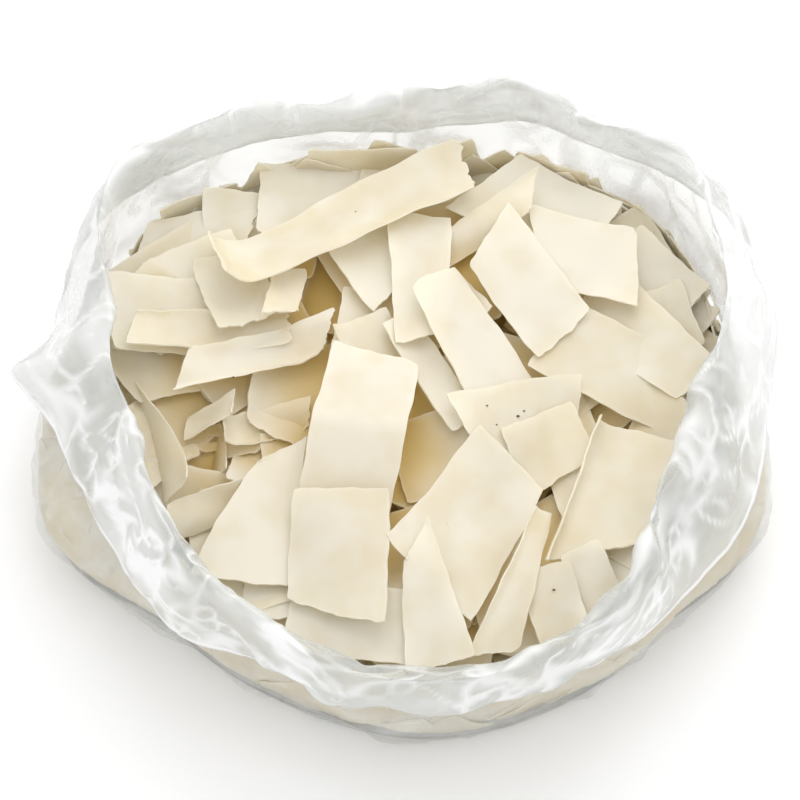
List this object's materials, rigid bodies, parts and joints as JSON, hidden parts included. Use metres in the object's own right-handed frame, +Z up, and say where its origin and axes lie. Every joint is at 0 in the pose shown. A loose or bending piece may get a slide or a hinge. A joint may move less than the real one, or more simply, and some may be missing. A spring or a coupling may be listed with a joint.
{
  "type": "open bag of dried rice noodle flakes",
  "caption": "Low, wide open plastic bag with its mouth rolled outwards, filled with a loose heap of flat dried rice noodle flakes.",
  "frame": {"origin": "middle of the bag's bounding box, on the floor that it stands on", "axes": "+Z up out of the bag's mouth, +X along the bag's long way, -Y towards the low front of the mouth"},
  "size_m": [0.2552, 0.2218, 0.0948],
  "materials": {
    "film": "thin milky see-through polythene, crinkled and glossy",
    "rice": "dried rice sheet, ivory, smooth and slightly see-through at its edges"
  },
  "bodies": {
    "root": {"bag": "film", "rice_flakes": "rice"}
  },
  "joints": []
}
